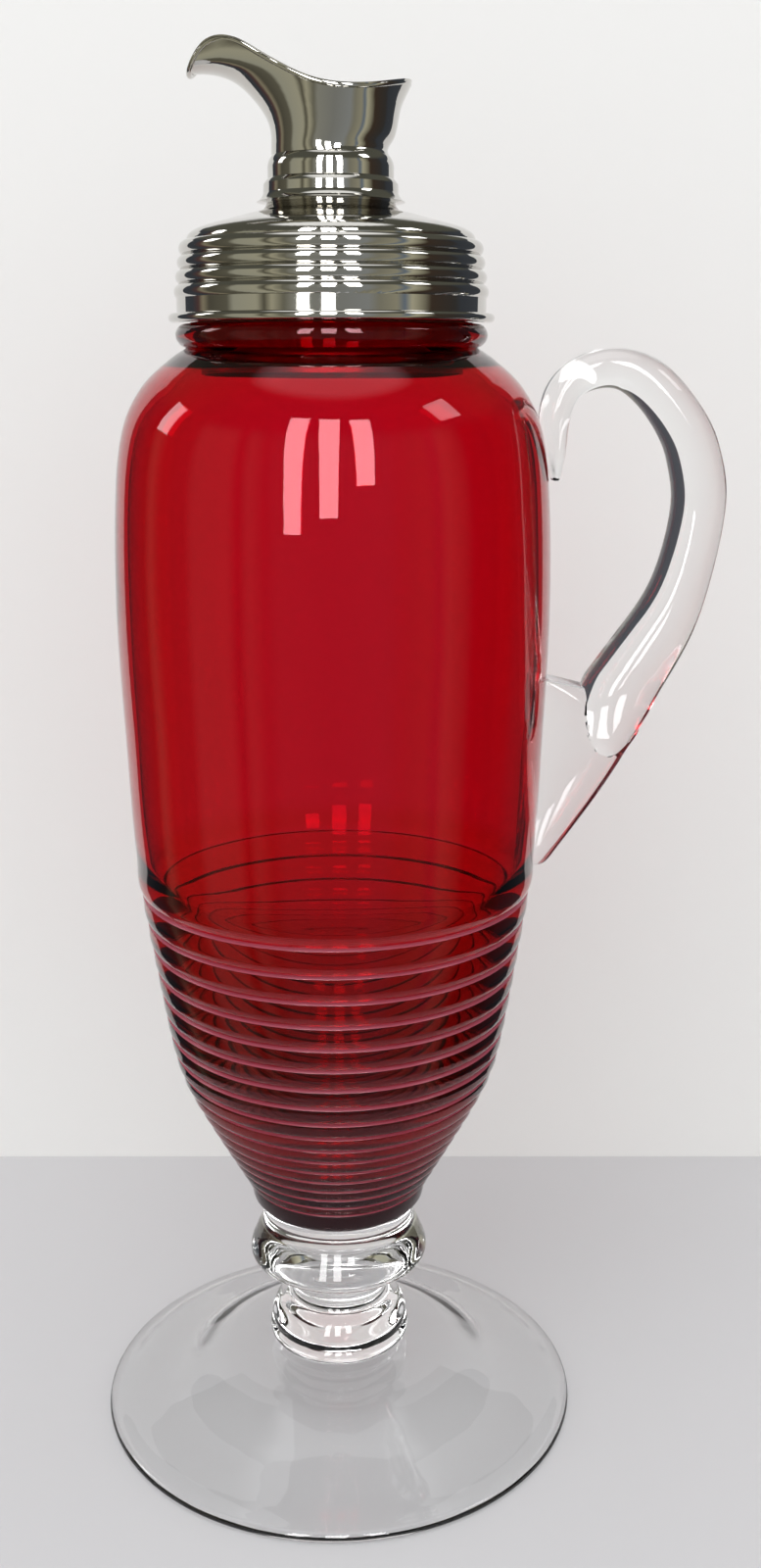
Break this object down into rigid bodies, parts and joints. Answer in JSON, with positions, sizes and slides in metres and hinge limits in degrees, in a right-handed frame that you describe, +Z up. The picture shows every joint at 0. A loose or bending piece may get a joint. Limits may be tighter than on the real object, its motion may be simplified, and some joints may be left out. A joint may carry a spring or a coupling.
{
  "type": "cocktail shaker",
  "caption": "Footed glass cocktail shaker with a ringed taper, drawn clear handle and foot, and a spun metal pull-off top with strainer and pouring spout.",
  "frame": {"origin": "centre of the foot's resting ring, on the surface the shaker stands on", "axes": "+Z up the stem and bowl, +X towards the handle, -X the way the spout pours"},
  "size_m": [0.1602, 0.1286, 0.3508],
  "materials": {
    "ruby_glass": "blown and polished",
    "clear_glass": "fire polished",
    "plated_metal": "polished plate",
    "cork": "cut cork"
  },
  "bodies": {
    "vessel": {"ruby_body": "ruby_glass", "handle": "clear_glass", "upper_knop": "clear_glass", "lower_knop": "clear_glass", "foot": "clear_glass"},
    "seal": {"cork_seal": "cork"},
    "top": {"cover": "plated_metal", "spout_base": "plated_metal", "spout": "plated_metal", "inner_sleeve": "plated_metal", "strainer": "plated_metal"}
  },
  "joints": [
    {"name": "top_lift", "type": "slide", "parent": "vessel", "child": "seal", "axis": [0, 0, 1], "range_m": [0, 0.06]},
    {"name": "top_turn", "type": "hinge", "parent": "seal", "child": "top", "pos_m": [0, 0, 0.2865], "axis": [0, 0, 1], "continuous": true}
  ]
}
